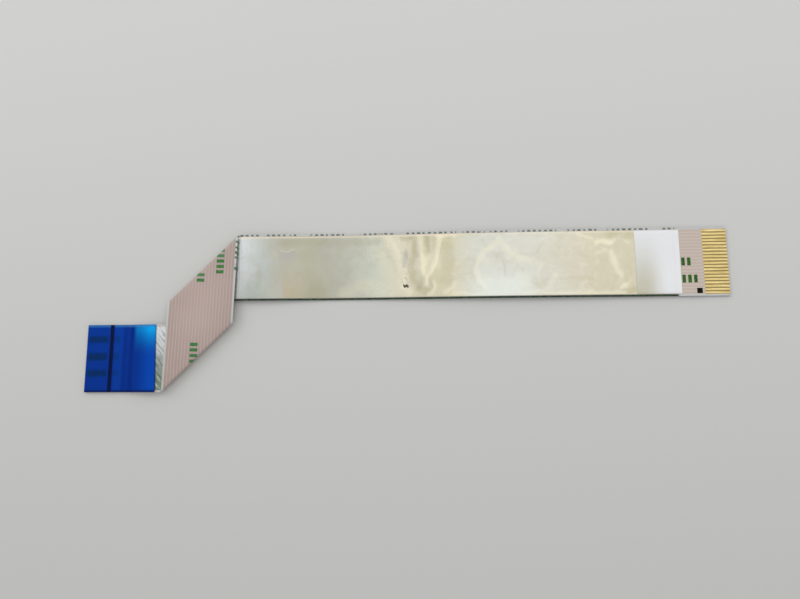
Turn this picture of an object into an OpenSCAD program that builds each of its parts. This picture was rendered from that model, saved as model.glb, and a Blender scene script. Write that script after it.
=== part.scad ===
// Shielded flat flex cable with two slanting folds that step it sideways.
//
// Every piece is laid out on the flat, unfolded cable and then folded by place():
// s runs along the cable from its left end, v runs across it, and h is the height
// above the middle of the conductors. The shield is on the +h face, which is the
// inner face of both folds. Lengths are in millimetres.

/* [Conductors] */
// Number of flat conductors side by side
conductor_count = 20; // [14:1:40]
// Distance from the middle of one conductor to the middle of the next
pitch = 0.5; // [0.5:0.05:1.25]
// Width of each conductor
conductor_w = 0.3; // [0.2:0.01:0.4]
// Thickness of each conductor
conductor_t = 0.05; // [0.035:0.005:0.1]
// Bare length of the conductors at each end
contact_l = 3.6; // [2.5:0.1:5.5]

/* [Insulating films] */
// Thickness of each insulating film with its glue
film_t = 0.06; // [0.04:0.005:0.12]
// Width of film outside the outermost conductors
film_margin = 0.35; // [0.3:0.05:1]
// Play between the outermost conductors and the recess that holds them all
recess_play = 0.05; // [0.02:0.01:0.1]

/* [Runs] */
// Length from the left end to the middle of the first fold
left_run = 18.1; // [17:0.1:40]
// Length from the middle of the second fold to the right end
right_run = 80.2; // [50:0.1:200]
// Sideways step from the left run to the right run
side_step = 14.1; // [8:0.1:40]
// Height of the slow wave that lifts the middle of the right run
wave_h = 0.3; // [0:0.1:3]

/* [Folds] */
// Turn of the cable's direction at each fold, in degrees
fold_turn = 88.5; // [80:1:100]
// Clear height inside each fold
fold_gap = 0.35; // [0.3:0.05:1.5]
// Height that the springy folds lift the cable off its support
fold_lift = 0.5; // [0:0.05:1.5]
// Flat length at the left end before the cable starts to lift
level_l = 5.6; // [2:0.1:8]

/* [Stiffeners] */
// Length of the stiffener on top of the left end
left_stiffener_l = 11.5; // [8.5:0.1:11.5]
// Length of the stiffener under the right end
right_stiffener_l = 8; // [5:0.1:12]
// Thickness of each stiffener
stiffener_t = 0.2; // [0.1:0.01:0.3]
// Distance from the left end to the middle of the insertion line
line_s = 4; // [2:0.1:5]
// Width of the insertion line
line_w = 0.6; // [0.2:0.05:1]

/* [Shield and tape] */
// Thickness of the metal foil shield
shield_t = 0.05; // [0.02:0.005:0.1]
// Bare film left beside the shield on each edge
shield_inset = 0.35; // [0.1:0.05:1]
// Distance from the left end to the start of the shield
shield_s = 7.7; // [6:0.1:8]
// Length of the white tape over the right end of the shield
tape_l = 6.6; // [3:0.1:12]
// Thickness of the white tape
tape_t = 0.07; // [0.03:0.01:0.15]
// Distance from the white tape to the right end of the cable
tape_gap = 7; // [6:0.1:12]
// Length of the white tape that reaches past the shield onto the film
tape_overlap = 1; // [0.5:0.1:2]

/* [Ink] */
// Thickness of the printed ink
ink_t = 0.015; // [0.01:0.005:0.03]
// Width of one printed bar, across the cable
bar_w = 1.2; // [0.6:0.1:2]
// Length of one printed bar, along the cable
bar_l = 0.5; // [0.2:0.05:0.8]
// Distance from the middle of one bar to the middle of the next
bar_step = 0.85; // [0.85:0.05:1.5]
// Side of the square polarity mark
polarity_side = 0.8; // [0.4:0.05:1]

/* [Hidden] */

// Facets around each fold, along the lift beside the first fold and along the wave.
fold_steps = 8;
lift_steps = 4;
wave_steps = 12;
// Length over which a tape or stiffener climbs onto the shield.
climb_l = 1;
// Flat length kept between a fold's slanting line and the first lifted stretch.
fold_clear = 0.2;
// Share of the right run over which the lift at the folds fades away.
fade = 0.25;

conductor_h = conductor_t / 2;
film_h = conductor_h + film_t;
shield_h = film_h + shield_t;
half_w = (conductor_count - 1) * pitch / 2 + conductor_w / 2 + film_margin;
shield_half_w = half_w - shield_inset;

// Both folds lie along one direction, across which the cable is mirrored.
fold_r = fold_gap / 2 + shield_h;
fold_angle = fold_turn / 2;
fold_l = PI * fold_r;
fold_spacing = side_step / (2 * cos(fold_angle));
middle_run = fold_spacing / sin(fold_angle);
cable_l = left_run + middle_run + right_run;
// Where the first bend starts on the middle line of the cable.
bend_s = left_run - fold_l / 2 / sin(fold_angle);
slant = half_w / tan(fold_angle);
left_flat_end = bend_s - slant - fold_clear;
right_flat_start = bend_s + (fold_spacing + fold_l) / sin(fold_angle) + slant + fold_clear;
right_flat_end = cable_l - right_stiffener_l - fold_clear;

// The fold moves the right run back by this length.
setback = 2 * fold_spacing * sin(fold_angle);
overall_l = cable_l - setback;

shield_end = cable_l - tape_gap - tape_overlap;
on_film = [[0, 0]];
on_left_shield = [[shield_s - climb_l, 0], [shield_s, shield_t]];
on_right_shield = [[shield_end, shield_t], [shield_end + tape_overlap / 3, 0]];

function conductor_name(i) = str("conductor_", i < 10 ? "0" : "", i);
function conductor_v(i) = (i - (conductor_count + 1) / 2) * pitch;

// A smooth step from 0 to 1, and a smooth hump that is 0 at both ends.
function ease(t) = (1 - cos(180 * max(0, min(1, t)))) / 2;
function hump(t) = (1 - cos(360 * max(0, min(1, t)))) / 2;

function right_lift(t) =
    fold_lift * (1 - ease(t / fade))
    + wave_h * hump((t - fade) / (1 - fade))
    + stiffener_t * ease(t);

// Height of the cable above its support at chosen places along it.
lift_table = concat(
    [for (k = [0 : lift_steps])
        [level_l + (left_flat_end - level_l) * k / lift_steps, fold_lift * ease(k / lift_steps)]],
    [for (k = [0 : wave_steps])
        [right_flat_start + (right_flat_end - right_flat_start) * k / wave_steps,
            right_lift(k / wave_steps)]]
);

// Where the flat point (s, v, h) lies on the folded cable. past is its distance
// past the first bend's start, and along is its place along the fold's direction.
function place(s, v, h) =
    let (
        past = (s - bend_s) * sin(fold_angle) - v * cos(fold_angle),
        along = (s - bend_s) * cos(fold_angle) + v * sin(fold_angle),
        second = bent(past - fold_spacing, h),
        first = past < fold_l
            ? bent(past, h)
            : [fold_l - fold_spacing - second.x, 2 * fold_r - second.y],
        across = first.x
    )
    [
        bend_s + across * sin(fold_angle) + along * cos(fold_angle) - overall_l / 2,
        -across * cos(fold_angle) + along * sin(fold_angle) - side_step / 2,
        first.y + film_h + lookup(s, lift_table)
    ];

// One half-turn bend in its own plane: [distance from the bend's start line, height].
function bent(past, h) =
    past <= 0 ? [past, h]
    : past < fold_l
        ? [(fold_r - h) * sin(past / fold_r * 180 / PI),
            fold_r - (fold_r - h) * cos(past / fold_r * 180 / PI)]
        : [fold_l - past, 2 * fold_r - h];

function sorted(list) =
    len(list) < 2 ? list
    : let (pivot = list[0])
        concat(
            sorted([for (x = list) if (x < pivot) x]),
            [pivot],
            sorted([for (x = list) if (x > pivot) x])
        );

// Rulings are the straight lines across the cable that a solid's faces meet on:
// [0, s] is square to the cable, and [1, past] runs along a fold.
function rulings(sa, sb, rise) =
    let (
        stops = sorted([for (p = concat(lift_table, rise)) if (p[0] > sa && p[0] < sb) p[0]]),
        folded = sa < left_flat_end && sb > right_flat_start
    )
    concat(
        [[0, sa]],
        [for (s = stops) if (s <= left_flat_end) [0, s]],
        [for (k = [0 : fold_steps]) if (folded) [1, fold_l * k / fold_steps]],
        [for (k = [0 : fold_steps]) if (folded) [1, fold_spacing + fold_l * k / fold_steps]],
        [for (s = stops) if (s >= right_flat_start) [0, s]],
        [[0, sb]]
    );

function ruling_s(ruling, v) =
    ruling[0] == 0
        ? ruling[1]
        : bend_s + (ruling[1] + v * cos(fold_angle)) / sin(fold_angle);

// A closed solid: the [v, h] points of section, swept from sa to sb and folded.
// rise lists [s, extra height] where the piece climbs onto another, and caps lists
// the convex parts that close the ends of a section that isn't convex.
module ribbon(sa, sb, section, rise = on_film, caps = []) {
    lines = rulings(sa, sb, rise);
    m = len(section);
    parts = len(caps) > 0 ? caps : [[for (j = [0 : m - 1]) j]];
    last = len(lines) - 1;
    points = [
        for (line = lines, corner = section)
            let (s = ruling_s(line, corner[0]))
            place(s, corner[0], corner[1] + lookup(s, rise))
    ];
    sides = [
        for (i = [0 : last - 1], j = [0 : m - 1])
            let (a = i * m + j, b = i * m + (j + 1) % m)
            each [[a, b, b + m], [a, b + m, a + m]]
    ];
    starts = [for (part = parts) [for (k = [len(part) - 1 : -1 : 0]) part[k]]];
    ends = [for (part = parts) [for (j = part) last * m + j]];
    polyhedron(points, concat(sides, starts, ends));
}

// The corners of a flat bar from va to vb across the cable and from ha to hb in height.
function bar(va, vb, ha, hb) = [[va, ha], [va, hb], [vb, hb], [vb, ha]];

module lower_film() {
    color([0.79, 0.70, 0.67])
        ribbon(contact_l, cable_l, bar(-half_w, half_w, -film_h, -conductor_h));
}

// The upper film is pressed down beside the conductors, which lie in its recess.
module upper_film() {
    recess_half_w = half_w - film_margin + recess_play;
    color([0.80, 0.71, 0.68])
        ribbon(0, cable_l - contact_l, [
            [-half_w, -conductor_h], [-half_w, film_h], [half_w, film_h], [half_w, -conductor_h],
            [recess_half_w, -conductor_h], [recess_half_w, conductor_h],
            [-recess_half_w, conductor_h], [-recess_half_w, -conductor_h]
        ], caps = [[0, 1, 6, 7], [1, 2, 5, 6], [2, 3, 4, 5]]);
}

module conductor(i) {
    v = conductor_v(i);
    color([0.86, 0.70, 0.36])
        ribbon(0, cable_l, bar(v - conductor_w / 2, v + conductor_w / 2, -conductor_h, conductor_h));
}

module left_stiffener() {
    color([0.02, 0.20, 0.62])
        ribbon(0, left_stiffener_l, bar(-half_w, half_w, film_h, film_h + stiffener_t),
            on_left_shield);
}

module right_stiffener() {
    start = place(cable_l - right_stiffener_l, -half_w, -film_h - stiffener_t);
    color([0.02, 0.20, 0.62])
        translate(start)
            cube([right_stiffener_l, 2 * half_w, stiffener_t]);
}

module shield_foil() {
    color([0.80, 0.79, 0.75])
        ribbon(shield_s, shield_end, bar(-shield_half_w, shield_half_w, film_h, shield_h));
}

module white_tape() {
    color([0.93, 0.93, 0.95])
        ribbon(cable_l - tape_gap - tape_l, cable_l - tape_gap,
            bar(-shield_half_w, shield_half_w, film_h, film_h + tape_t), on_right_shield);
}

module insertion_line() {
    top = film_h + stiffener_t;
    color([0.01, 0.02, 0.10])
        ribbon(line_s - line_w / 2, line_s + line_w / 2, bar(-half_w, half_w, top, top + ink_t));
}

// Ink on the upper film, printed on its outer face.
module printed_on_top(s, v, l, w) {
    ribbon(s - l / 2, s + l / 2, bar(v - w / 2, v + w / 2, film_h, film_h + ink_t));
}

// Ink on the lower film, printed on its outer face.
module printed_below(s, v, l, w) {
    ribbon(s - l / 2, s + l / 2, bar(v - w / 2, v + w / 2, -film_h - ink_t, -film_h));
}

module polarity_mark() {
    color([0.05, 0.05, 0.03])
        printed_on_top(cable_l - contact_l - polarity_side, -half_w + polarity_side,
            polarity_side, polarity_side);
}

// Plain green bars between the white tape and the contacts, in two rows.
module bars_at_right_end() {
    row_v = [0, -0.5] * half_w;
    bars_in_row = [2, 3];
    first_s = cable_l - tape_gap + bar_step / 2;
    color([0.18, 0.42, 0.16])
        for (row = [0, 1], k = [0 : bars_in_row[row] - 1])
            printed_on_top(first_s + k * bar_step, row_v[row], bar_l, bar_w);
}

// Plain green bars on the outer face of the middle run. One row starts at the first
// fold and two end at the second, all clear of the bends.
module bars_on_middle_run() {
    clear = bar_w / 2 * cos(fold_angle) + (bar_l / 2 + fold_clear) * sin(fold_angle);
    first_past = fold_l + clear;
    last_past = fold_spacing - clear;
    color([0.20, 0.46, 0.20]) {
        bar_row(first_past, -0.11 * half_w, 2, 1);
        bar_row(last_past, 0.52 * half_w, 3, -1);
        bar_row(last_past, -0.05 * half_w, 1, -1);
    }
}

// A row of bars whose first one is centred at a distance past the first bend's start.
module bar_row(past, v, count, direction) {
    first_s = ruling_s([1, past], v);
    for (k = [0 : count - 1])
        printed_below(first_s + direction * k * bar_step, v, bar_l, bar_w);
}

lower_film();
upper_film();
for (i = [1 : conductor_count])
    conductor(i);
left_stiffener();
right_stiffener();
shield_foil();
white_tape();
insertion_line();
polarity_mark();
bars_at_right_end();
bars_on_middle_run();
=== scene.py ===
# %% [markdown]
# # A shielded flat flex cable
#
# This lesson dresses a folded flat flex cable: pink plastic film with flat copper
# conductors inside, a metal foil shield, blue stiffeners and bare gold contacts.
# The CAD part gives every size. Blender adds the finer shapes and the finishes.

# %% Load the part
import math

import bpy
import numpy as np
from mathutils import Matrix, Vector, noise


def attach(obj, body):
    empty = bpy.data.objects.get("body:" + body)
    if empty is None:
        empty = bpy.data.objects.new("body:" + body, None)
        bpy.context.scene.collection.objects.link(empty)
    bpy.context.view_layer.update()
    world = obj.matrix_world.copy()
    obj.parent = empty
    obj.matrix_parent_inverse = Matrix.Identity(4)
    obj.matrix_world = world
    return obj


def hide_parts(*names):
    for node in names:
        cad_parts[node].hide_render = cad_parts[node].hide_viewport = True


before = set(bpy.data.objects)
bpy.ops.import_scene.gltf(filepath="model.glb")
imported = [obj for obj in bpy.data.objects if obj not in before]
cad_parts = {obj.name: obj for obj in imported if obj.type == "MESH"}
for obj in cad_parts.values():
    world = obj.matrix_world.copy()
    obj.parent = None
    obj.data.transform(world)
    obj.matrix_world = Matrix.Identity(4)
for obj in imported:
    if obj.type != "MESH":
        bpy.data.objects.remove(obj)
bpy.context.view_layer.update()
print("CAD nodes:", len(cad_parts))

# %% [markdown]
# ## The camera and the studio
#
# The camera looks down on the cable from a little in front, through a wide lens. It
# could be placed by eye, but the slant of a flat cable shows any error, so its place
# and turn were worked out from where the cable's corners should appear. It comes
# first, so that every later piece can be looked at from where it counts.

# %% Camera
MM = 0.001

CAMERA_PLACE = Vector((5.76, -11.36, 91.57)) * MM
CAMERA_TURN = (math.radians(8.15), math.radians(3.62), math.radians(-0.13))

bpy.ops.object.select_all(action="DESELECT")
bpy.ops.object.camera_add(location=CAMERA_PLACE, rotation=CAMERA_TURN)
camera = bpy.context.object
camera.data.lens = 27
camera.data.sensor_width = 36
camera.data.clip_start = 1 * MM
camera.data.clip_end = 50
bpy.context.scene.camera = camera
print("camera height:", round(camera.location.z / MM, 1), "mm")

# %% [markdown]
# Foil looks like what is around it. A single lamp would leave it dark with one hard
# glare. So the studio is a plain grey room with one large, slightly warm panel
# overhead to the right, which the right half of the foil mirrors, and a cool one to
# the left for its left end. A wide window at the back and a smaller one at the left
# give the light its direction and its soft shadow.

# %% World and lamps
scene = bpy.context.scene
scene.view_settings.view_transform = "Standard"

ROOM_GREY = (0.63, 0.635, 0.63, 1)

room = bpy.data.worlds.new("pale_room")
room.use_nodes = True
room.node_tree.nodes["Background"].inputs["Color"].default_value = ROOM_GREY
room.node_tree.nodes["Background"].inputs["Strength"].default_value = 1.0
scene.world = room


def add_panel(name, place, target, size, brightness, tint):
    """A rectangular lamp at a place, facing a target. Lengths are in metres."""
    bpy.ops.object.light_add(type="AREA", location=place)
    panel = bpy.context.object
    panel.name = name
    panel.rotation_euler = (Vector(target) - Vector(place)).to_track_quat("-Z", "Y").to_euler()
    panel.data.shape = "RECTANGLE"
    panel.data.size, panel.data.size_y = size
    # A panel's brightness is its power over pi times its area.
    panel.data.energy = brightness * math.pi * size[0] * size[1]
    panel.data.color = tint
    panel.visible_camera = False
    return panel


add_panel(
    "overhead_right", place=(0.165, 0.10, 0.50), target=(0.165, 0.10, 0), size=(0.43, 0.60),
    brightness=0.40, tint=(1, 0.97, 0.90),
)
add_panel(
    "overhead_left", place=(-0.30, 0.10, 0.50), target=(-0.30, 0.10, 0), size=(0.26, 0.40),
    brightness=0.17, tint=(0.90, 0.96, 1),
)
add_panel(
    "window_back", place=(0.10, 1.25, 0.74), target=(0, 0, 0), size=(3.6, 1.5),
    brightness=0.42, tint=(1, 1, 0.98),
)
add_panel(
    "window_left", place=(-0.55, 0.40, 0.45), target=(0, 0, 0), size=(0.4, 0.4),
    brightness=2.4, tint=(0.97, 0.99, 1),
)

# %% [markdown]
# ## Shader arithmetic
#
# A finish is mostly arithmetic on masks: stripes, bands, worn edges. It could be wired
# node by node, but this cable needs dozens of masks. Wrapping each shader socket in a
# small class lets that arithmetic be written as ordinary Python.


# %% Signals and finishes
class Signal:
    """A number that varies over a surface, on which Python's operators work."""

    def __init__(self, finish, socket):
        self.finish = finish
        self.socket = socket

    def math(self, operation, *values):
        return self.finish.node("ShaderNodeMath", {"operation": operation}, [self, *values])

    def __add__(self, other):
        return self.math("ADD", other)

    def __sub__(self, other):
        return self.math("SUBTRACT", other)

    def __mul__(self, other):
        return self.math("MULTIPLY", other)

    def __truediv__(self, other):
        return self.math("DIVIDE", other)

    def __neg__(self):
        return self * -1

    def __rsub__(self, other):
        return -self + other

    def __abs__(self):
        return self.math("ABSOLUTE")

    __radd__ = __add__
    __rmul__ = __mul__

    def fract(self):
        return self.math("FRACT")

    def clamp(self):
        return self.math("MAXIMUM", 0).math("MINIMUM", 1)

    def step(self, low, high):
        """0 below low, 1 above high, and a smooth rise between them."""
        settings = {"interpolation_type": "SMOOTHSTEP"}
        return self.finish.node("ShaderNodeMapRange", settings, [self, low, high, 0, 1])

    def band(self, low, high, soft):
        """1 between low and high, 0 outside, with edges that are soft wide."""
        return self.step(low - soft, low + soft) * (1 - self.step(high - soft, high + soft))


def colour(code):
    """A colour from its usual six-figure code, as the linear values shaders use."""
    parts = [int(code[i : i + 2], 16) / 255 for i in (0, 2, 4)]
    return [p / 12.92 if p <= 0.04045 else ((p + 0.055) / 1.055) ** 2.4 for p in parts] + [1]


class Finish:
    """A material, and the one method that adds nodes to it."""

    def __init__(self, name, **constants):
        self.material = bpy.data.materials.new(name)
        self.material.use_nodes = True
        self.nodes = self.material.node_tree.nodes
        self.links = self.material.node_tree.links
        self.shader = self.nodes["Principled BSDF"]
        for socket, value in constants.items():
            self.shader.inputs[socket.replace("_", " ")].default_value = value

    def node(self, kind, settings=None, inputs=(), output=0):
        """Adds a node: its settings first, then values or links, by place or name."""
        new = self.nodes.new(kind)
        for name, value in (settings or {}).items():
            if name == "stops":
                self.set_stops(new.color_ramp, value)
            else:
                setattr(new, name, value)
        places = inputs.items() if isinstance(inputs, dict) else enumerate(inputs)
        for place, value in places:
            if isinstance(value, Signal):
                self.links.new(value.socket, new.inputs[place])
            else:
                new.inputs[place].default_value = value
        return Signal(self, new.outputs[output])

    def set_stops(self, ramp, stops):
        while len(ramp.elements) < len(stops):
            ramp.elements.new(1)
        for element, (position, tone) in zip(ramp.elements, stops):
            element.position = position
            element.color = tone

    def mix(self, amount, first, second):
        """Goes from the first colour to the second as amount goes from 0 to 1."""
        settings = {"data_type": "RGBA", "clamp_factor": True}
        return self.node("ShaderNodeMix", settings, {0: amount, 6: first, 7: second}, output=2)

    def ramp(self, amount, stops):
        return self.node("ShaderNodeValToRGB", {"stops": stops}, [amount])

    def noise(self, place, scale, detail=3.0, roughness=0.5, distortion=0.0):
        """Soft random variation around 0.5, with scale waves per millimetre."""
        inputs = {"Vector": place, "Scale": scale, "Detail": detail, "Roughness": roughness,
                  "Distortion": distortion}
        return self.node("ShaderNodeTexNoise", {"noise_dimensions": "3D"}, inputs)

    def vector(self, x, y, z=0.0):
        return self.node("ShaderNodeCombineXYZ", None, [x, y, z])

    def flat_place(self):
        """Where a point lies on the unfolded cable: along, across and up, in millimetres."""
        stored = self.node("ShaderNodeAttribute", {"attribute_name": "flat"}, (), output=1)
        return [
            self.node("ShaderNodeSeparateXYZ", None, [stored], output=axis) * 1000
            for axis in range(3)
        ]

    def object_place(self):
        """A point's place on the part, in millimetres."""
        stored = self.node("ShaderNodeTexCoord", None, (), output=3)
        return [
            self.node("ShaderNodeSeparateXYZ", None, [stored], output=axis) * 1000
            for axis in range(3)
        ]

    def surface(self, **signals):
        """Links signals to the shader's sockets, such as Base_Color and Roughness."""
        for socket, signal in signals.items():
            self.links.new(signal.socket, self.shader.inputs[socket.replace("_", " ")])
        return self.material

    def bump(self, height, strength, distance):
        settings = {"Strength": strength, "Distance": distance, "Height": height}
        return self.node("ShaderNodeBump", None, settings)


# %% [markdown]
# ## The floor
#
# The cable lies on a plain pale table. It only has to be large, matt and quiet, with
# painted light making it a little paler towards the window. A curved backdrop would
# hide the table's far edge from one side only. So far away the table glows in the grey
# of the room, for the eye and for reflections alone, and no edge shows from any side.

# %% Floor
bpy.ops.object.select_all(action="DESELECT")
bpy.ops.mesh.primitive_plane_add(size=30, location=(0, 0, -0.00002))
floor = bpy.context.object
floor.name = "table"
table_finish = Finish("pale_table", Roughness=0.9, Specular_IOR_Level=0.1)
x, y, z = table_finish.object_place()
cloudy = table_finish.noise(table_finish.vector(x, y, z), 0.004, 2.0)
# Painted light: the table's colour grows paler towards the window at the back.
painted_light_toward_window = (y * 0.9 + cloudy * 20 - 10).step(-70, 60)
table_finish.surface(Base_Color=table_finish.mix(painted_light_toward_window, colour("c2c2c0"), colour("d8d8d6")))

seen = sum(
    table_finish.node("ShaderNodeLightPath", output=f"Is {kind} Ray")
    for kind in ("Camera", "Glossy", "Transmission")
)
far_off = (x * x + y * y).math("SQRT").step(95, 330)
room_glow = table_finish.node("ShaderNodeEmission", None, [ROOM_GREY, 1.0])
table_top = Signal(table_finish, table_finish.shader.outputs[0])
shaders = [far_off * seen.clamp(), table_top, room_glow]
faded = table_finish.node("ShaderNodeMixShader", None, shaders)
table_finish.links.new(faded.socket, table_finish.nodes["Material Output"].inputs["Surface"])
floor.data.materials.append(table_finish.material)
print("table:", [round(side) for side in floor.dimensions[:2]], "m")

# %% [markdown]
# ## The cable laid flat
#
# The real cable is made flat and folded afterwards, and it is easiest to model in the
# same order. Each sheet is made on the unfolded cable, where x runs along it, y across
# it and z up from the middle of the conductors. The same sizes as the CAD's are used.

# %% Sizes of the cable
PITCH = 0.5 * MM
CONDUCTORS = 20
CONDUCTOR_WIDTH = 0.3 * MM
CONTACT_LENGTH = 3.6 * MM
FILM_MARGIN = 0.35 * MM
HALF_WIDTH = (CONDUCTORS - 1) * PITCH / 2 + CONDUCTOR_WIDTH / 2 + FILM_MARGIN

# Heights, from the middle of the conductors. Each film, the foil and a strip is so thick.
FILM = 0.06 * MM
FOIL = 0.05 * MM
STIFFENER = 0.2 * MM
CONDUCTOR_TOP = 0.025 * MM
FILM_TOP = CONDUCTOR_TOP + FILM
SHIELD_TOP = FILM_TOP + FOIL

# The three runs of the cable, and the two slanting folds between them.
LEFT_RUN = 18.1 * MM
RIGHT_RUN = 80.2 * MM
SIDE_STEP = 14.1 * MM
FOLD_ANGLE = math.radians(88.5 / 2)
FOLD_GAP = 0.35 * MM
FOLD_RADIUS = FOLD_GAP / 2 + SHIELD_TOP
FOLD_LENGTH = math.pi * FOLD_RADIUS
FOLD_SPACING = SIDE_STEP / (2 * math.cos(FOLD_ANGLE))
CABLE = LEFT_RUN + FOLD_SPACING / math.sin(FOLD_ANGLE) + RIGHT_RUN
BEND_START = LEFT_RUN - FOLD_LENGTH / 2 / math.sin(FOLD_ANGLE)
SETBACK = 2 * FOLD_SPACING * math.sin(FOLD_ANGLE)
# How far along the cable a slanting fold reaches to each side, and stays clear.
FOLD_CLEAR = 0.2 * MM
SLANT = HALF_WIDTH / math.tan(FOLD_ANGLE) + FOLD_CLEAR

# Where each run leaves the table. The folds hold it up, and the right run has a slow wave.
FOLD_LIFT = 0.5 * MM
WAVE_HEIGHT = 0.3 * MM
WAVE_START = 0.25
LIFT_START = 5.6 * MM
LEFT_FLAT_END = BEND_START - SLANT
RIGHT_FLAT_START = BEND_START + (FOLD_SPACING + FOLD_LENGTH) / math.sin(FOLD_ANGLE) + SLANT
RIGHT_STIFFENER_LENGTH = 8 * MM
RIGHT_FLAT_END = CABLE - RIGHT_STIFFENER_LENGTH - FOLD_CLEAR
print("cable length on the flat:", round(CABLE / MM, 1), "mm")


# %% [markdown]
# ## Folding
#
# Blender's own bend tools turn a mesh about one axis at a time, and this cable has two
# slanting folds close together. So each finished sheet is folded by moving its points
# with the same rule as the CAD part: a half circle at each fold, and a slow wave.


# %% The folding rule
def ease(t):
    """Rises smoothly from 0 to 1 as t does."""
    return (1 - np.cos(np.pi * np.clip(t, 0, 1))) / 2


def hump(t):
    """Rises smoothly from 0 to 1 and back again as t goes from 0 to 1."""
    return (1 - np.cos(2 * np.pi * np.clip(t, 0, 1))) / 2


def lift(s):
    """Height of the cable above the table at a distance s along it."""
    left = FOLD_LIFT * ease((s - LIFT_START) / (LEFT_FLAT_END - LIFT_START))
    t = (s - RIGHT_FLAT_START) / (RIGHT_FLAT_END - RIGHT_FLAT_START)
    descent = FOLD_LIFT * (1 - ease(t / WAVE_START))
    wave = WAVE_HEIGHT * hump((t - WAVE_START) / (1 - WAVE_START))
    return np.where(s < RIGHT_FLAT_START, left, descent + wave + STIFFENER * ease(t))


def bend(past, h):
    """One half-turn fold: how far across the fold's line, and how high."""
    turn = np.clip(past / FOLD_RADIUS, 0, np.pi)
    across = (FOLD_RADIUS - h) * np.sin(turn) + np.minimum(past, 0)
    across = across - np.maximum(past - FOLD_LENGTH, 0)
    return across, FOLD_RADIUS - (FOLD_RADIUS - h) * np.cos(turn)


def fold(s, v, h):
    """Where points of the flat cable lie once it is folded."""
    sine, cosine = math.sin(FOLD_ANGLE), math.cos(FOLD_ANGLE)
    past = (s - BEND_START) * sine - v * cosine
    along = (s - BEND_START) * cosine + v * sine
    second_across, second_height = bend(past - FOLD_SPACING, h)
    first_across, first_height = bend(past, h)
    after = past >= FOLD_LENGTH
    across = np.where(after, FOLD_LENGTH - FOLD_SPACING - second_across, first_across)
    height = np.where(after, 2 * FOLD_RADIUS - second_height, first_height)
    x = BEND_START + across * sine + along * cosine - (CABLE - SETBACK) / 2
    y = -across * cosine + along * sine - SIDE_STEP / 2
    return np.stack([x, y, height + FILM_TOP + lift(s)], axis=1)


def fold_cable(piece):
    """Stores each point's flat place for the finish to read, then folds the piece."""
    count = len(piece.data.vertices)
    flat = np.empty(count * 3)
    piece.data.vertices.foreach_get("co", flat)
    stored = piece.data.attributes.new("flat", "FLOAT_VECTOR", "POINT")
    stored.data.foreach_set("vector", flat)
    points = fold(*flat.reshape(-1, 3).T)
    piece.data.vertices.foreach_set("co", points.ravel())
    piece.data.update()


# %% [markdown]
# ## Making a sheet
#
# Every layer starts as a plane of its own length and width. Subdividing it evenly would
# make the slanting folds jagged, so straight cuts give it edges along the folds
# themselves, and Solidify gives it its thickness.


# %% Helpers for sheets
FOLD_CUTS = 20


def begin_sheet(name, start, end, half_width, top, columns=1, rows=1):
    """A flat grid from start to end along the cable, with its face at the height top."""
    bpy.ops.object.select_all(action="DESELECT")
    bpy.ops.mesh.primitive_grid_add(
        x_subdivisions=columns, y_subdivisions=rows, size=1,
        location=((start + end) / 2, 0, top),
    )
    sheet = bpy.context.object
    sheet.name = name
    sheet.scale = (end - start, 2 * half_width, 1)
    bpy.ops.object.transform_apply(location=True, rotation=True, scale=True)
    return sheet


def cut_sheet(sheet, cuts):
    """Cuts the whole sheet along lines, each a point (x, y) and the direction across it."""
    bpy.ops.object.mode_set(mode="EDIT")
    for (x, y), (across_x, across_y) in cuts:
        bpy.ops.mesh.select_all(action="SELECT")
        bpy.ops.mesh.bisect(plane_co=(x, y, 0), plane_no=(across_x, across_y, 0))
    bpy.ops.object.mode_set(mode="OBJECT")


def square_cuts(places):
    """Straight across the cable."""
    return [((s, 0), (1, 0)) for s in places]


def lengthways_cuts(places):
    """Along the whole cable."""
    return [((0, v), (0, 1)) for v in places]


def fold_cuts():
    """Cuts along both slanting folds, close enough for each bend to look round."""
    direction = (math.sin(FOLD_ANGLE), -math.cos(FOLD_ANGLE))
    return [
        ((BEND_START + (first + FOLD_LENGTH * k / FOLD_CUTS) / math.sin(FOLD_ANGLE), 0), direction)
        for first in (0, FOLD_SPACING)
        for k in range(FOLD_CUTS + 1)
    ]


def spread(start, end, step):
    """Evenly spaced places strictly between start and end."""
    count = max(1, round((end - start) / step))
    return [start + (end - start) * k / count for k in range(1, count)]


def thicken(sheet, thickness):
    """Gives the sheet its thickness, downwards from its face."""
    wall = sheet.modifiers.new("thickness", "SOLIDIFY")
    wall.thickness = thickness
    wall.offset = -1
    bpy.ops.object.modifier_apply(modifier=wall.name)


def round_edges(sheet, width, segments=2):
    """Rounds the rim, which a punch leaves slightly soft."""
    rim = sheet.modifiers.new("rim", "BEVEL")
    rim.width = width
    rim.segments = segments
    rim.limit_method = "ANGLE"
    bpy.ops.object.modifier_apply(modifier=rim.name)


def points_of(sheet):
    """The places of all its points, one row each."""
    flat = np.empty(len(sheet.data.vertices) * 3)
    sheet.data.vertices.foreach_get("co", flat)
    return flat.reshape(-1, 3)


def set_points(sheet, points):
    sheet.data.vertices.foreach_set("co", points.ravel())
    sheet.data.update()


def finish_piece(piece, finish, slot, *nodes, smooth=40):
    """Folds the piece, shades it, attaches it to the root and hides the CAD parts it stands for.
    """
    fold_cable(piece)
    bpy.ops.object.select_all(action="DESELECT")
    piece.select_set(True)
    bpy.context.view_layer.objects.active = piece
    bpy.ops.object.shade_smooth_by_angle(angle=math.radians(smooth))
    piece.data.materials.clear()
    piece.data.materials.append(finish)
    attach(piece, "root")
    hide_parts(*nodes)
    print(piece.name, len(piece.data.polygons), "faces")


# %% [markdown]
# ## The films
#
# Two thin pink films hold the conductors. Pressed around them, each film shows a fine
# ridge over every conductor and a shallow groove between them, and the conductors'
# colour shows through as stripes. The ridges are real shape, so that side light
# catches them, and the stripe colours follow the same places.

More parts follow.
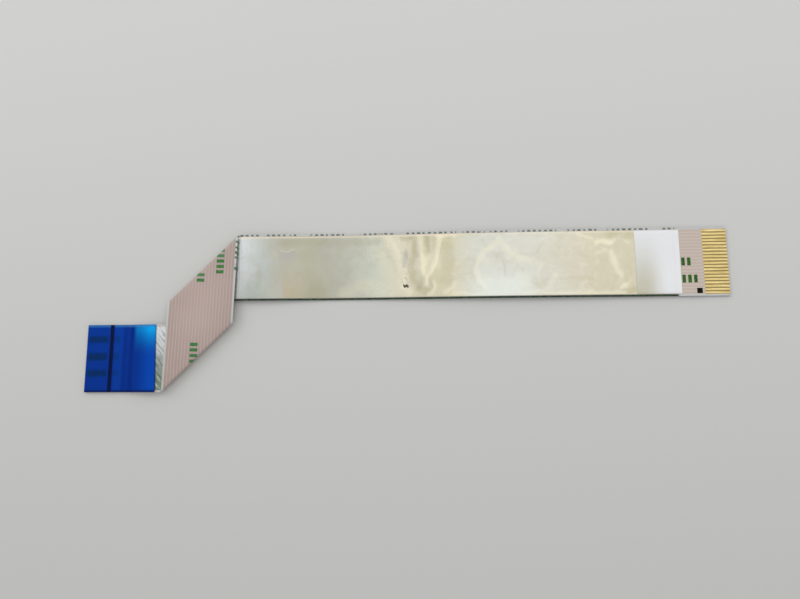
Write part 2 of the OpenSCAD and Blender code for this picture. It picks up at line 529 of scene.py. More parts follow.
# %% Film finish
film_finish = Finish("striped_film", IOR=1.5, Specular_IOR_Level=0.35)
s, v, h = film_finish.flat_place()
right_end = CABLE / MM
# 0 in the middle of a conductor, 0.5 midway between two.
beside = abs((v / (PITCH / MM) + CONDUCTORS / 2).fract() - 0.5)
between = beside.step(0.25, 0.42)
at_end = s.step(right_end - 9, right_end - 8)
mottle = film_finish.noise(film_finish.vector(s, v, h), 0.35, 4.0)
fine = film_finish.noise(film_finish.vector(s * 0.25, v * 3, h), 2.2, 2.0)
over_metal = film_finish.mix(mottle, colour("a8938e"), colour("b7a29c"))
over_gap = film_finish.mix(fine, colour("b7a39d"), colour("c7b4ae"))
striped = film_finish.mix(between, over_metal, over_gap)
# The middle run bulges a little, so a painted highlight runs along its middle.
painted_bulge_highlight = s.band(20, 34, 4) * (1 - v * v * 0.05).clamp()
striped = film_finish.mix(painted_bulge_highlight * 0.30, striped, colour("cdb9b2"))
# Painted shade darkens the middle run towards the second fold.
past = (s - BEND_START / MM) * math.sin(FOLD_ANGLE) - v * math.cos(FOLD_ANGLE)
painted_fold_shade = past.step(4.5, 9.8) * (1 - past.step(10.8, 11.0))
striped = film_finish.mix(painted_fold_shade * 0.20, striped, colour("937d76"))
clearer = film_finish.mix(between, colour("c8b9af"), colour("d2c4ba"))
striped = film_finish.mix(at_end * 0.85, striped, clearer)
margin = abs(v).step(4.90, 5.02)
edge = film_finish.mix(mottle, colour("babbb9"), colour("cdcdcb"))
film_colour = film_finish.mix(margin, striped, edge)
print("film finish:", len(film_finish.nodes), "nodes")

# %% [markdown]
# Green print runs along both margins beside the shield, and over the folds between
# the raised bars. Ink this thin has no height to model, so it is drawn in the finish,
# as plain dashes a little uneven in length.

# %% Dashes on the film
smear = film_finish.noise(film_finish.vector(s * 1.5, v * 1.2, 0), 1.0, 3.0, 0.6)
words = film_finish.noise(film_finish.vector(s, 0, 7), 0.28, 1.0).step(0.42, 0.45)
stroke = abs((s * 1.18 + smear * 1.2).fract() - 0.5)
lower_side = 1 - v.step(-1, 1)
upper_dash = (1 - stroke.step(0.20, 0.30)) * words * smear.step(0.34, 0.42)
lower_dash = (smear + (abs(v) - 5.0) * 0.6).step(0.22, 0.34)
dashes = upper_dash + (lower_dash - upper_dash) * lower_side
printed = s.band(31.8, right_end - 7.5, 0.2) * abs(v).step(4.95, 5.00)
upper_ink = film_finish.mix(s.step(36.5, 38), colour("3f7a48"), colour("65706a"))
# The lower margin's marks are drawn nearly black: green print with painted shade on that edge.
shaded_lower_ink = film_finish.mix(smear.step(0.35, 0.65), colour("101a12"), colour("2a4a2e"))
film_colour = film_finish.mix(
    dashes * printed, film_colour, film_finish.mix(lower_side, upper_ink, shaded_lower_ink)
)

# Rows of raised bars run on over a fold as flat ones. The raised ones keep a whole bar
# clear of the bend, so the flat ones start from there. In millimetres:
BAR_STEP = 0.85
BAR_HALF_WIDTH = 0.6
BAR_HALF_LENGTH = 0.25
bar_reach = BAR_HALF_LENGTH + FOLD_CLEAR / MM
CLEAR = BAR_HALF_WIDTH * math.cos(FOLD_ANGLE) + bar_reach * math.sin(FOLD_ANGLE)
first_line = FOLD_LENGTH / MM + CLEAR
second_line = FOLD_SPACING / MM - CLEAR

# For each row: its middle as a share of the half width, the fold's line it meets, which
# way it runs on, and how many bars it adds.
ROWS_OVER_FOLDS = (
    (0.52, second_line, 1, 2),
    (-0.05, second_line, 1, 1),
    (-0.11, first_line, -1, 2),
)
for share, line, way, count in ROWS_OVER_FOLDS:
    row = share * HALF_WIDTH / MM
    nearest_bar = BEND_START / MM + (line + row * math.cos(FOLD_ANGLE)) / math.sin(FOLD_ANGLE)
    in_step = abs(((s - nearest_bar) / BAR_STEP + 0.5).fract() - 0.5)
    stretch = ((s - nearest_bar) * way).band(0.4, (count + 0.4) * BAR_STEP, 0.02)
    across_row = v.band(row - BAR_HALF_WIDTH, row + BAR_HALF_WIDTH, 0.03)
    dash = (1 - in_step.step(0.27, 0.31)) * stretch * across_row
    film_colour = film_finish.mix(dash, film_colour, colour("417a46"))
print("rows of bars over the folds:", len(ROWS_OVER_FOLDS))

# %% [markdown]
# At the right end the upper film stops short, and between the bare contacts the lower
# film is painted dull olive, a painted reflection of the gold beside it.

# %% Film under the contacts
bare_from = right_end - CONTACT_LENGTH / MM
painted_gold_reflection = s.step(bare_from - 0.02, bare_from + 0.02) * (1 - margin)
film_colour = film_finish.mix(painted_gold_reflection, film_colour, colour("9a8953"))
striped_film = film_finish.surface(
    Base_Color=film_colour,
    Roughness=0.36 + fine * 0.14,
    Normal=film_finish.bump(fine, 0.25, 0.02 * MM),
)
print("film finish:", len(film_finish.nodes), "nodes with its print")

# %% [markdown]
# Both films are cut lengthways beside every conductor, so that ridge and groove are
# rows of points of their own, and the outer face is then pressed down in the grooves.

# %% Both films
GROOVE = 0.018 * MM
conductor_lines = [(i - (CONDUCTORS - 1) / 2) * PITCH for i in range(CONDUCTORS)]
ridge_cuts = [
    line + side * beside_middle
    for line in conductor_lines
    for side in (-1, 1)
    for beside_middle in (0.13 * MM, 0.19 * MM)
]
length_cuts = (
    spread(LIFT_START, LEFT_FLAT_END, 0.8 * MM)
    + spread(RIGHT_FLAT_START, RIGHT_FLAT_END, 2 * MM)
    + [LIFT_START, LEFT_FLAT_END, RIGHT_FLAT_START, RIGHT_FLAT_END]
)


def press_grooves(film, outer_side):
    """Lowers the outer face between the conductors. outer_side is 1 above, -1 below."""
    points = points_of(film)
    outer = points[:, 2] * outer_side > (FILM_TOP + CONDUCTOR_TOP) / 2
    nearest = np.abs(points[:, 1, None] - np.array(conductor_lines)).min(axis=1)
    among = np.abs(points[:, 1]) < conductor_lines[-1]
    depth = GROOVE * ease((nearest - 0.12 * MM) / (0.08 * MM))
    points[:, 2] -= np.where(outer & among, depth * outer_side, 0)
    set_points(film, points)


def make_film(name, start, end, top, outer_side, node):
    film = begin_sheet(name, start, end, HALF_WIDTH, top)
    cut_sheet(film, square_cuts(length_cuts) + fold_cuts() + lengthways_cuts(ridge_cuts))
    thicken(film, FILM)
    press_grooves(film, outer_side)
    finish_piece(film, striped_film, "film", node)
    return film


upper_film = make_film("top_film", 0, CABLE - CONTACT_LENGTH, FILM_TOP, 1, "upper_film")
lower_film = make_film("bottom_film", CONTACT_LENGTH, CABLE, -CONDUCTOR_TOP, -1, "lower_film")

# %% [markdown]
# ## The foil shield
#
# The shield is aluminium foil under a clear skin, glued along the upper film. It is
# the largest surface here, and what makes it foil is that it is never quite flat: it
# has slow waves, a few raised blisters and creases, and one small dent. They are all
# modelled, because a mirror-like surface shows its true shape in its reflections.
# They could be sculpted by hand, but written as paths each can be moved by itself.

# %% Creases and stains of the foil
TAPE_LENGTH = 6.6 * MM
TAPE_OVERLAP = 1 * MM
TAPE_END = CABLE - 7 * MM
TAPE_START = TAPE_END - TAPE_LENGTH
SHIELD_START = 7.7 * MM
SHIELD_END = TAPE_END - TAPE_OVERLAP
SHIELD_HALF_WIDTH = HALF_WIDTH - 0.35 * MM

# Raised creases: the path each follows on the flat cable, in millimetres, its half
# width, its height, and how much painted highlight makes it paler than the foil around
# it. Those with no height are painted highlights alone.
creases = [
    ([(66.0, 4.4), (66.3, 2.6), (66.3, 1.4), (66.5, -0.6), (67.0, -2.8)], 0.44, 0.032, 0.75),
    ([(69.2, 4.4), (68.9, 2.8), (68.6, 0.9), (67.9, -0.7), (67.2, -2.2)], 0.50, 0.032, 0.75),
    ([(66.4, 0.6), (68.2, 0.6)], 1.00, 0.016, 0.95),
    ([(66.6, -0.8), (67.5, -0.8)], 0.85, 0.016, 0.95),
    ([(67.6, 3.0), (67.9, 2.0), (68.2, 1.2)], 0.35, 0.010, 0.45),
    ([(68.2, -2.5), (68.5, -3.4), (68.1, -4.1), (67.4, -4.6)], 0.30, 0.040, 0.7),
    ([(68.8, 4.65), (71.6, 4.6)], 0.22, 0.020, 1.0),
    ([(71.4, -2.8), (71.0, -3.6), (70.0, -4.3)], 0.40, 0.020, 0.5),
    ([(61.0, 4.2), (61.9, 2.6), (62.8, 1.0), (63.2, -1.0), (63.2, -2.8), (64.4, -4.2)],
     0.75, 0.025, 0.75),
    ([(60.6, 3.0), (60.9, -0.5), (61.6, -2.0), (62.4, -3.8)], 1.00, 0.0, 0.35),
    ([(77.8, 3.3), (76.4, 2.2), (75.3, 1.0), (74.6, -0.8), (75.0, -2.6), (76.2, -3.8)],
     0.50, 0.035, 0.55),
    ([(78.3, 3.9), (79.0, 3.0), (79.7, 1.9)], 0.35, 0.025, 0.5),
    ([(79.6, 1.2), (80.6, 1.4), (81.6, 0.8)], 0.50, 0.020, 0.45),
    ([(82.4, 0.5), (83.6, 0.3), (84.6, -0.4)], 0.55, 0.020, 0.35),
    ([(87.0, -1.5), (86.4, -2.6), (85.8, -3.7)], 0.35, 0.012, 0.25),
    ([(71.5, -4.5), (78.0, -4.5), (84.0, -4.45), (91.0, -4.6), (97.0, -4.6)], 0.32, 0.0, 0.6),
    ([(75.5, -3.0), (79.0, -3.2), (82.0, -2.8)], 1.20, 0.0, 0.4),
    ([(90.2, 4.4), (90.9, 4.3)], 0.25, 0.015, 0.6),
    ([(91.4, 4.1), (92.4, 3.7)], 0.30, 0.020, 0.6),
    ([(93.2, 3.0), (94.2, 3.3), (95.2, 3.0)], 0.42, 0.030, 0.7),
    ([(93.0, 1.3), (94.3, 1.6)], 0.30, 0.015, 0.4),
    ([(94.6, 3.2), (95.8, 3.6)], 0.50, 0.020, 0.6),
    ([(95.3, 1.5), (95.6, 0.2), (96.1, -1.2), (96.6, -2.0)], 0.48, 0.030, 0.75),
    ([(96.4, -3.8), (97.0, -3.2)], 0.26, 0.030, 0.8),
    ([(97.1, -3.7), (97.6, -3.1)], 0.22, 0.030, 0.8),
    ([(44.3, 2.55), (45.4, 2.65), (46.7, 2.5)], 0.12, 0.010, 0.5),
    ([(54.5, -4.2), (57.0, -3.2), (60.0, -3.8)], 1.20, 0.0, 0.50),
]

# Hollows and painted shade: the path, half width, depth and how much painted shade
# darkens it. Those with no depth are painted shade alone.
hollows_and_shades = [
    ([(65.4, 3.2), (65.1, 1.2), (64.8, -0.6), (65.1, -2.0), (65.9, -3.4)], 0.60, 0.014, 0.55),
    ([(67.2, 4.4), (67.2, 3.2), (67.5, 2.2)], 0.36, 0.016, 0.6),
    ([(69.6, 3.6), (69.2, 0.9), (68.4, -0.9), (67.6, -2.2)], 0.14, 0.010, 0.5),
    ([(66.2, -3.9), (67.2, -3.9)], 0.45, 0.010, 0.45),
    ([(67.5, -1.6), (67.5, -3.2)], 0.20, 0.010, 0.35),
    ([(63.5, 4.1), (64.6, 4.4)], 0.50, 0.010, 0.5),
    ([(70.2, 4.0), (70.5, 1.0), (70.0, -2.5)], 0.90, 0.015, 0.3),
    ([(76.8, 1.6), (78.4, 1.3), (79.8, 1.0)], 0.65, 0.010, 0.25),
    ([(79.0, 0.4), (79.1, -1.2), (79.0, -2.2)], 0.28, 0.010, 0.35),
    ([(83.9, -2.5), (84.9, -3.2)], 0.70, 0.010, 0.25),
    ([(87.6, -2.5), (90.0, -2.4), (92.4, -2.5)], 0.25, 0.010, 0.2),
    ([(44.5, 4.0), (52.0, 3.9), (60.0, 3.8)], 0.60, 0.0, 0.30),
    ([(95.0, 4.6), (98.8, 4.2)], 0.60, 0.0, 0.5),
    ([(97.6, -4.6), (98.8, -4.1)], 0.60, 0.0, 0.6),
    ([(40.8, 0.5), (41.0, -1.5), (40.9, -3.2)], 0.45, 0.0, 0.3),
]
dent_s, dent_v = 63.9, -3.2
print("creases:", len(creases), "hollows:", len(hollows_and_shades))


# %% [markdown]
# How near a point is to a mark gives both its height and its painted light: a painted
# highlight on a crease, painted shade in a hollow. The distance to a path of straight
# legs is the smallest of the distances to its legs.


# %% Relief and painted light
def nearness(s, v, path, half_width):
    """1 on the path, falling smoothly to 0 beside it."""
    gap = np.full(s.shape, 1e6)
    for (s0, v0), (s1, v1) in zip(path, path[1:]):
        leg = (s1 - s0) ** 2 + (v1 - v0) ** 2
        t = np.clip(((s - s0) * (s1 - s0) + (v - v0) * (v1 - v0)) / leg, 0, 1)
        gap = np.minimum(gap, np.hypot(s - s0 - t * (s1 - s0), v - v0 - t * (v1 - v0)))
    return np.exp(-((gap / half_width) ** 3))


def soft_noise(s, v, length, breadth, seed):
    """A slow random wave between about -1 and 1."""
    places = [Vector((a / length, b / breadth, seed)) for a, b in zip(s, v)]
    return np.array([noise.noise(place) for place in places]) * 1.6


def foil_marks(s, v):
    """Height in millimetres, and random mottle with painted highlights and shade from -1 to 1, of
    points on the foil's face.
    """
    wobble_s = s + 0.22 * soft_noise(s, v, 1.1, 1.1, 4.2)
    wobble_v = v + 0.22 * soft_noise(s, v, 1.1, 1.1, 9.6)
    height = 0.016 * soft_noise(s, v, 8.0, 5.0, 3.1) + 0.004 * soft_noise(s, v, 2.4, 2.0, 8.7)
    paleness = 0.10 * soft_noise(s, v, 3.0, 2.4, 14.8) + 0.05 * soft_noise(s, v, 0.8, 0.8, 31.3)
    for path, half_width, rise, pale in creases:
        near = nearness(wobble_s, wobble_v, path, half_width)
        height += rise * near
        paleness += pale * near
    for path, half_width, depth, dark in hollows_and_shades:
        near = nearness(wobble_s, wobble_v, path, half_width)
        height -= depth * near
        paleness -= dark * near
    to_dent = np.hypot(s - dent_s, (v - dent_v) * 1.2)
    height -= 0.05 * np.exp(-((to_dent / 0.35) ** 2))
    crumpled = nearness(s, v, [(63.8, 2.0), (63.8, -0.8), (63.9, -3.0)], 0.6)
    height += 0.018 * soft_noise(s, v, 0.45, 0.4, 5.5) * crumpled
    return height + 0.02, np.clip(paleness, -1, 1)


# %% [markdown]
# The foil is a fine grid, so that it can carry this relief. The relief fades out at
# its edges and under the white tape, where the foil is held flat. The mottle with its
# painted highlights and shade is stored on the points, for the finish to read.

# %% Foil sheet
foil_columns = round((SHIELD_END - SHIELD_START) / (0.2 * MM))
foil = begin_sheet("foil_shield", SHIELD_START, SHIELD_END, SHIELD_HALF_WIDTH, SHIELD_TOP,
                   columns=foil_columns, rows=50)
cut_sheet(foil, fold_cuts())
thicken(foil, FOIL)
points = points_of(foil)
face = points[:, 2] > (SHIELD_TOP + FILM_TOP) / 2
fade = (
    ease((points[:, 0] - RIGHT_FLAT_START + 3 * MM) / (3 * MM))
    * ease((TAPE_START - points[:, 0]) / (2 * MM))
    * ease((SHIELD_HALF_WIDTH - np.abs(points[:, 1])) / (0.4 * MM))
)
relief, paleness = foil_marks(points[:, 0] / MM, points[:, 1] / MM)
points[:, 2] += np.where(face, np.maximum(relief * fade, -0.03), 0) * MM
set_points(foil, points)
stored = foil.data.attributes.new("paleness", "FLOAT", "POINT")
stored.data.foreach_set("value", paleness * (fade > 0.02))
print("foil relief:", round(relief.min(), 3), "to", round(relief.max(), 3), "mm")

# %% [markdown]
# Its colour is a slightly warm aluminium. A plain metal would mirror the room too
# evenly, so a ramp along the cable paints uneven reflections into the base tone: cool
# and pale beside the fold, then greenish, then tan, and yellower again to the right.

# %% Foil finish
foil_finish = Finish("creased_foil", Metallic=0.85, IOR=1.5, Coat_Roughness=0.1)
s, v, h = foil_finish.flat_place()
pale = foil_finish.node("ShaderNodeAttribute", {"attribute_name": "paleness"}, (), output=2)
patches = foil_finish.noise(foil_finish.vector(s, v, h), 0.16, 3.0, 0.55, 0.6)
across = foil_finish.noise(foil_finish.vector(s * 3.0, v * 0.12, h), 0.9, 3.0)
speckle = foil_finish.noise(foil_finish.vector(s, v, h), 2.6, 3.0)
shifted = (s + (patches - 0.5) * 8 + v * 0.12 - 37) / 75
tone = foil_finish.ramp(shifted, [
    (0.018, colour("e8eaee")),
    (0.042, colour("d4d9d6")),
    (0.060, colour("cfd5cf")),
    (0.095, colour("cfcdc0")),
    (0.160, colour("c6c6b2")),
    (0.213, colour("c4c3b6")),
    (0.290, colour("dbdfd0")),
    (0.340, colour("e8e3ce")),
    (0.390, colour("d6d0b8")),
    (0.440, colour("dad4b8")),
    (0.520, colour("d9dad2")),
    (0.620, colour("dbdad1")),
    (0.730, colour("d7d1bd")),
    (0.810, colour("d4cfb7")),
])
print("foil tones:", len(tone.socket.node.color_ramp.elements))

# %% [markdown]
# Handling has left its marks on that tone: a stained patch, a tan corner and a scuffed
# stretch with fine lines across. Beside the fold, painted shade darkens the lower side
# and a painted highlight lightens the upper corner.

# %% Stains, painted shade and highlight of the foil
patch_edge = s + v * 0.12
stained = patch_edge.step(44.2, 44.5) * (1 - patch_edge.step(49, 55)) * (1 - v.step(2.55, 2.75))
foil_colour = foil_finish.mix(stained * 0.25, tone, colour("ccc4ac"))
tan_corner = stained * (1 - v.step(-4.2, 0.0)) * (1 - s.step(46, 50))
foil_colour = foil_finish.mix(tan_corner * 0.45, foil_colour, colour("d2bf98"))
lavender = stained * v.step(0.2, 1.8) * (1 - s.step(45.5, 47.5))
foil_colour = foil_finish.mix(lavender * 0.6, foil_colour, colour("c6c1c1"))
lower_patch = s.band(48.3, 51.5, 1.4) * (1 - v.step(-4.6, -0.8))
foil_colour = foil_finish.mix(lower_patch * 0.7, foil_colour, colour("b5b196"))
by_the_fold = (1 - s.step(39, 44)) * s.step(20, 21)
# Painted shade: the lower side beside the fold is darker.
painted_shade_low_side = by_the_fold * (1 - v.step(-9, 3)) * 0.8
foil_colour = foil_finish.mix(painted_shade_low_side, foil_colour, colour("a9b0a6"))
# Painted highlight: the upper corner beside the fold is paler.
painted_highlight_upper_corner = (1 - s.step(39.5, 43)) * s.step(36, 37) * v.step(0.5, 4.0)
foil_colour = foil_finish.mix(painted_highlight_upper_corner * 0.5, foil_colour, colour("f2f3f6"))
scuffed = (1 - s.step(41, 46)) * across.step(0.46, 0.66)
foil_colour = foil_finish.mix(scuffed * 0.25, foil_colour, colour("a9b3aa"))
print("foil finish:", len(foil_finish.nodes), "nodes with its stains")

# %% [markdown]
# Soft clouds break up the rest. The creases and hollows of the relief also carry
# painted highlights and painted shade, and a thin painted highlight runs along the
# upper edge.

# %% Clouds and creases of the foil
clouds = foil_finish.noise(foil_finish.vector(s * 0.8, v, h), 0.45, 4.0, 0.55, 1.5)
bright_clouds = clouds.step(0.52, 0.70) * s.step(58, 72) * 0.30
foil_colour = foil_finish.mix(bright_clouds, foil_colour, colour("efeee0"))
dim_clouds = (1 - clouds.step(0.34, 0.48)) * 0.25
foil_colour = foil_finish.mix(dim_clouds, foil_colour, colour("c2bda4"))
# Painted highlights on the creases.
foil_colour = foil_finish.mix(pale.clamp() * 0.75, foil_colour, colour("f3edd4"))
milky = s.band(73.5, 83, 2.5) * (1 - v.step(-3.5, 0.5)) * 0.5
foil_colour = foil_finish.mix(milky, foil_colour, colour("e6efef"))
# Painted shade in the hollows.
foil_colour = foil_finish.mix((-pale).clamp() * 0.75, foil_colour, colour("b5ac86"))
# Painted highlight along the upper edge of the foil.
painted_edge_highlight = v.band(4.62, 4.86, 0.05) * s.step(36, 37) * (0.8 - 0.5 * s.step(70, 74))
foil_colour = foil_finish.mix(painted_edge_highlight, foil_colour, colour("f1e4ce"))
print("foil finish:", len(foil_finish.nodes), "nodes with its creases")

# %% [markdown]
# The one dent is painted dark as painted shade in its hollow, with pits and a grey smudge above
# it.

# %% The dent
to_dent = ((s - dent_s) * (s - dent_s) + (v - dent_v) * (v - dent_v) * 1.6).math("SQRT")
beyond_dent_shade = (to_dent + (speckle - 0.5) * 1.6).step(0.28, 0.46)
foil_colour = foil_finish.mix((1 - beyond_dent_shade) * 0.92, foil_colour, colour("3b382e"))
pits = foil_finish.noise(foil_finish.vector(s * 1.3, v, h), 3.6, 2.0, 0.7)
pitted = s.band(63.3, 64.6, 0.3) * v.band(-2.9, -0.8, 0.4) * pits.step(0.53, 0.62) * 0.60
foil_colour = foil_finish.mix(pitted, foil_colour, colour("78746a"))
smudge = s.band(63.3, 64.5, 0.4) * v.band(-0.4, 2.3, 0.5)
foil_colour = foil_finish.mix(smudge * (0.3 + speckle * 0.5), foil_colour, colour("c0bcb4"))
print("dent at", dent_s, "mm along and", dent_v, "mm across")

# %% [markdown]
# The short stretch between the blue strip and the first fold is painted darker
# towards its lower edge as painted shade, with slanting streaks of painted shade and
# painted highlight.

# %% Painted shade and streaks of the left run
left_run = 1 - s.step(20, 21)
slanting = foil_finish.vector((s * 0.75 + v * 0.65) * 5, (s * 0.65 - v * 0.75) * 0.6, h)
streaks = foil_finish.noise(slanting, 0.7, 4.0, 0.6)
painted_low_shade = (1 - v.step(-5.0, 5.0)) * (0.6 + streaks)
foil_colour = foil_finish.mix(left_run * painted_low_shade.clamp(), foil_colour, colour("808d7c"))
painted_streak_shade = left_run * streaks.step(0.50, 0.60) * 0.5
foil_colour = foil_finish.mix(painted_streak_shade, foil_colour, colour("5c6c57"))
painted_streak_highlights = left_run * (1 - streaks.step(0.34, 0.44)) * 0.4
foil_colour = foil_finish.mix(painted_streak_highlights, foil_colour, colour("eef1ee"))
creased_foil = foil_finish.surface(
    Base_Color=foil_colour,
    Roughness=0.24 + patches * 0.08 + scuffed * 0.10,
    Coat_Weight=0.15 + patches * 0.25,
    Normal=foil_finish.bump(across * 0.5 + patches, 0.10, 0.03 * MM),
)
finish_piece(foil, creased_foil, "foil", "shield_foil", smooth=60)

# %% [markdown]
# ## The white tape
#
# A strip of white tape holds the end of the shield down. A plain box would float over
# the step from foil to film. Real tape is thin enough to follow it, so its points are
# lowered past the step, which then shows as a faint line across it.

# %% White tape
TAPE = 0.07 * MM
tape = begin_sheet("white_end_tape", TAPE_START, TAPE_END, SHIELD_HALF_WIDTH, FILM_TOP + TAPE,
                   columns=60, rows=16)
thicken(tape, TAPE)
round_edges(tape, 0.012 * MM)
points = points_of(tape)
on_shield = FOIL * (1 - ease((points[:, 0] - SHIELD_END) / (0.33 * MM)))
points[:, 2] += on_shield + 0.004 * MM * np.sin(points[:, 0] / MM * 2.1 + points[:, 1] / MM)
set_points(tape, points)

tape_finish = Finish("white_tape", IOR=1.45, Specular_IOR_Level=0.4)
s, v, h = tape_finish.flat_place()
cloud = tape_finish.noise(tape_finish.vector(s, v, h), 0.3, 3.0)
grain = tape_finish.noise(tape_finish.vector(s, v, h), 6.0, 2.0)
rim = abs(v).step(4.70, 4.88)
tape_colour = tape_finish.mix(cloud, colour("e9eaef"), colour("f0f1f4"))
tape_colour = tape_finish.mix(rim * 0.4, tape_colour, colour("c9c8cc"))
# Painted shade: the tape is darker and warmer towards its lower left.
painted_shade_lower_left = (1 - s.step(100, 103.6)) * (1 - v.step(-6, 6)) * (0.7 + cloud * 0.6)
tape_colour = tape_finish.mix(painted_shade_lower_left, tape_colour, colour("c8c4b0"))
finish_piece(
    tape,
    tape_finish.surface(
        Base_Color=tape_colour,
        Roughness=0.42 + grain * 0.14,
        Normal=tape_finish.bump(grain, 0.15, 0.01 * MM),
    ),
    "tape",
    "white_tape",
)

# %% [markdown]
# ## The stiffeners
#
# A strip of clear blue plastic backs each end, so that it can be pushed into a
# connector. Blue over the printed film looks nearly opaque, with dull bands where
# print lies under it, a darker stretch between print and shield, and lighter blue
# over the foil. A clear shader would need all of that modelled under it, and one
# opaque finish with those zones looks the same.

# %% Stiffener finish
blue_finish = Finish("blue_stiffener", IOR=1.5, Specular_IOR_Level=0.06)
s, v, h = blue_finish.flat_place()
cloud = blue_finish.noise(blue_finish.vector(s, v, h), 0.25, 3.0)
ink = blue_finish.noise(blue_finish.vector(s * 1.6, v * 0.8, h), 1.1, 3.0)
on_left = 1 - s.step(20, 21)
deep = blue_finish.mix(v.step(-6, 6), colour("02318e"), colour("03399c"))
blue = blue_finish.mix(cloud.step(0.35, 0.65) * 0.5, deep, colour("02348f"))

# Rows of print lie under it, and dull it before and after the dark line.
rows = v.band(2.45, 3.45, 0.35) + v.band(-0.30, 0.85, 0.35) + v.band(-2.80, -1.80, 0.35)
words = s.band(0.3, 3.4, 0.3) + s.band(4.4, 5.3, 0.3)
under_print = rows * words * on_left * (0.5 + ink)
blue = blue_finish.mix(under_print.clamp(), blue, colour("022c62"))

# Between the print and the shield, and over the shield's own start.
blue = blue_finish.mix(s.band(4.5, 5.8, 0.2) * on_left * 0.5, blue, colour("063fa2"))
gap_zone = s.band(5.90, 6.60, 0.35) * 0.6 + s.band(6.9, 7.70, 0.35) * 0.9
blue = blue_finish.mix(gap_zone * on_left, blue, colour("012880"))
over_foil = s.step(7.5, 8.2) * on_left
# Over the foil the blue grows paler towards the end, a painted reflection.
blue_over_foil_and_reflection = blue_finish.mix(s.step(8, 11), colour("02338f"), colour("0346b0"))
blue = blue_finish.mix(over_foil, blue, blue_over_foil_and_reflection)

# The far corner shines through paler, because the foil under it mirrors the window.
rising = (v / 4.4).clamp().math("POWER", 2.2)
toward_end = ((s - 7.6) / 2.6).clamp()
lit_corner = over_foil * rising * (toward_end * toward_end * 0.55 + 0.42)
blue = blue_finish.mix(lit_corner, blue, colour("08a4f0"))

# Light gathers in the far rim of the clear plastic, painted as a highlight, and the near rim is
# painted dark as shade.
blue = blue_finish.mix(v.step(4.80, 4.95) * on_left * 0.6, blue, colour("3a78b4"))
blue = blue_finish.mix((1 - v.step(-4.98, -4.80)) * on_left * 0.8, blue, colour("061f56"))
blue_plastic = blue_finish.surface(
    Base_Color=blue,
    Roughness=0.16 + cloud * 0.08,
    Normal=blue_finish.bump(cloud, 0.06, 0.04 * MM),
)
print("blue finish:", len(blue_finish.nodes), "nodes")

# %% Left stiffener
STIFFENER_END = 11.5 * MM
left_stiffener = begin_sheet("left_blue_strip", 0, STIFFENER_END, HALF_WIDTH,
                             FILM_TOP + STIFFENER, columns=72, rows=12)
thicken(left_stiffener, STIFFENER)
round_edges(left_stiffener, 0.035 * MM, 3)
points = points_of(left_stiffener)
climb = ease((points[:, 0] - SHIELD_START + 1 * MM) / (1 * MM))
points[:, 2] += FOIL * climb
# The strip was cut a little out of square at its inner end.
OUT_OF_SQUARE = 0.36 * MM
inner = points[:, 0] / STIFFENER_END
points[:, 0] -= OUT_OF_SQUARE * inner**8 * (0.5 + points[:, 1] / HALF_WIDTH / 2)
set_points(left_stiffener, points)
finish_piece(left_stiffener, blue_plastic, "stiffener", "left_stiffener")

# %% Right stiffener
right_stiffener = begin_sheet("right_blue_strip", CABLE - RIGHT_STIFFENER_LENGTH, CABLE,
                              HALF_WIDTH, -FILM_TOP, columns=16, rows=12)
thicken(right_stiffener, STIFFENER)
round_edges(right_stiffener, 0.035 * MM, 3)
finish_piece(right_stiffener, blue_plastic, "stiffener", "right_stiffener")

# %% [markdown]
# ## Contacts and ink
#
# The CAD conductors already have the right shape, so they stay and only get a
# finish: gold where they are bare at the ends, plain copper between the films. Streaks
# differ from one conductor to the next, as the plating does.

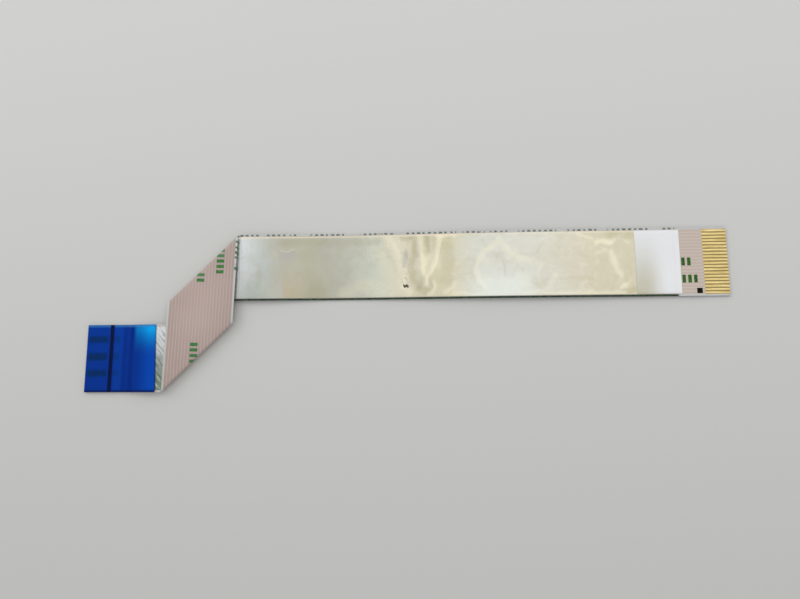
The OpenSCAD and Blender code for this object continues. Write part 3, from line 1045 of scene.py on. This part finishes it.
# %% Contact finish
half_length = (CABLE - SETBACK) / 2 / MM
metal_finish = Finish("gold_and_copper", Metallic=1.0)
x, y, z = metal_finish.object_place()
bare_from = half_length - CONTACT_LENGTH / MM
bare = abs(x).step(bare_from - 0.15, bare_from - 0.05)
streak = metal_finish.noise(metal_finish.vector(x * 0.4, y * 6, z), 1.2, 3.0)
spots = metal_finish.noise(metal_finish.vector(x, y, z), 2.5, 3.0)
gold = metal_finish.mix(streak.step(0.25, 0.75), colour("d2b671"), colour("fbe5a8"))
gold = metal_finish.mix(spots.step(0.60, 0.72) * 0.30, gold, colour("b89a58"))
plated = metal_finish.surface(
    Base_Color=metal_finish.mix(bare, colour("b8735a"), gold),
    Roughness=0.26 + streak * 0.14,
)
for i in range(1, CONDUCTORS + 1):
    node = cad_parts[f"conductor_{i:02d}"]
    node.data.materials.clear()
    node.data.materials.append(plated)
print("contacts finished:", CONDUCTORS)

# %% [markdown]
# The ink of the dark line, the corner mark and the green bars is thin and slightly
# uneven, as ink rolled onto plastic is. One function makes all four, because they
# differ only in colour and wear.


# %% Ink finishes
def ink_finish(name, light, dark, wear):
    finish = Finish(name, IOR=1.45, Specular_IOR_Level=0.08)
    x, y, z = finish.object_place()
    coverage = finish.noise(finish.vector(x, y, z), 3.0, 4.0)
    tone = finish.mix(coverage.step(0.35, 0.65), colour(dark), colour(light))
    return finish.surface(
        Base_Color=tone,
        Roughness=0.45 + coverage * wear,
        Normal=finish.bump(coverage, 0.2, 0.006 * MM),
    )


inks = {
    "insertion_line": ink_finish("dark_line_ink", "021348", "010d34", 0.1),
    "polarity_mark": ink_finish("corner_mark_ink", "16180f", "060604", 0.2),
    "bars_at_right_end": ink_finish("end_green_ink", "41702f", "2d5a24", 0.2),
    "bars_on_middle_run": ink_finish("fold_green_ink", "50864f", "3a7240", 0.2),
}
for name, ink_material in inks.items():
    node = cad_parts[name]
    node.data.materials.clear()
    node.data.materials.append(ink_material)
print("inks:", ", ".join(inks))

# %% [markdown]
# ## The cable as a cord
#
# The whole part is one flat, springy cord. The line it follows, along its middle from
# the left end through both folds to the right, is worked out here.

BEFORE_FOLDS = [3.6, 5, 7, 9, 12, 14, 16]
THROUGH_FOLDS = [17.5, 17.9, 18.3, 19, 21, 24, 27, 30, 33, 36, 37, 37.5, 38.2]
AFTER_FOLDS = [40, 48, 56, 64, 72, 80, 88, 96, 104, 108, 112.4]
along = np.array(BEFORE_FOLDS + THROUGH_FOLDS + AFTER_FOLDS) * MM
middle_line = [tuple(point) for point in fold(along, 0 * along, 0 * along)]
print("cord points:", len(middle_line))
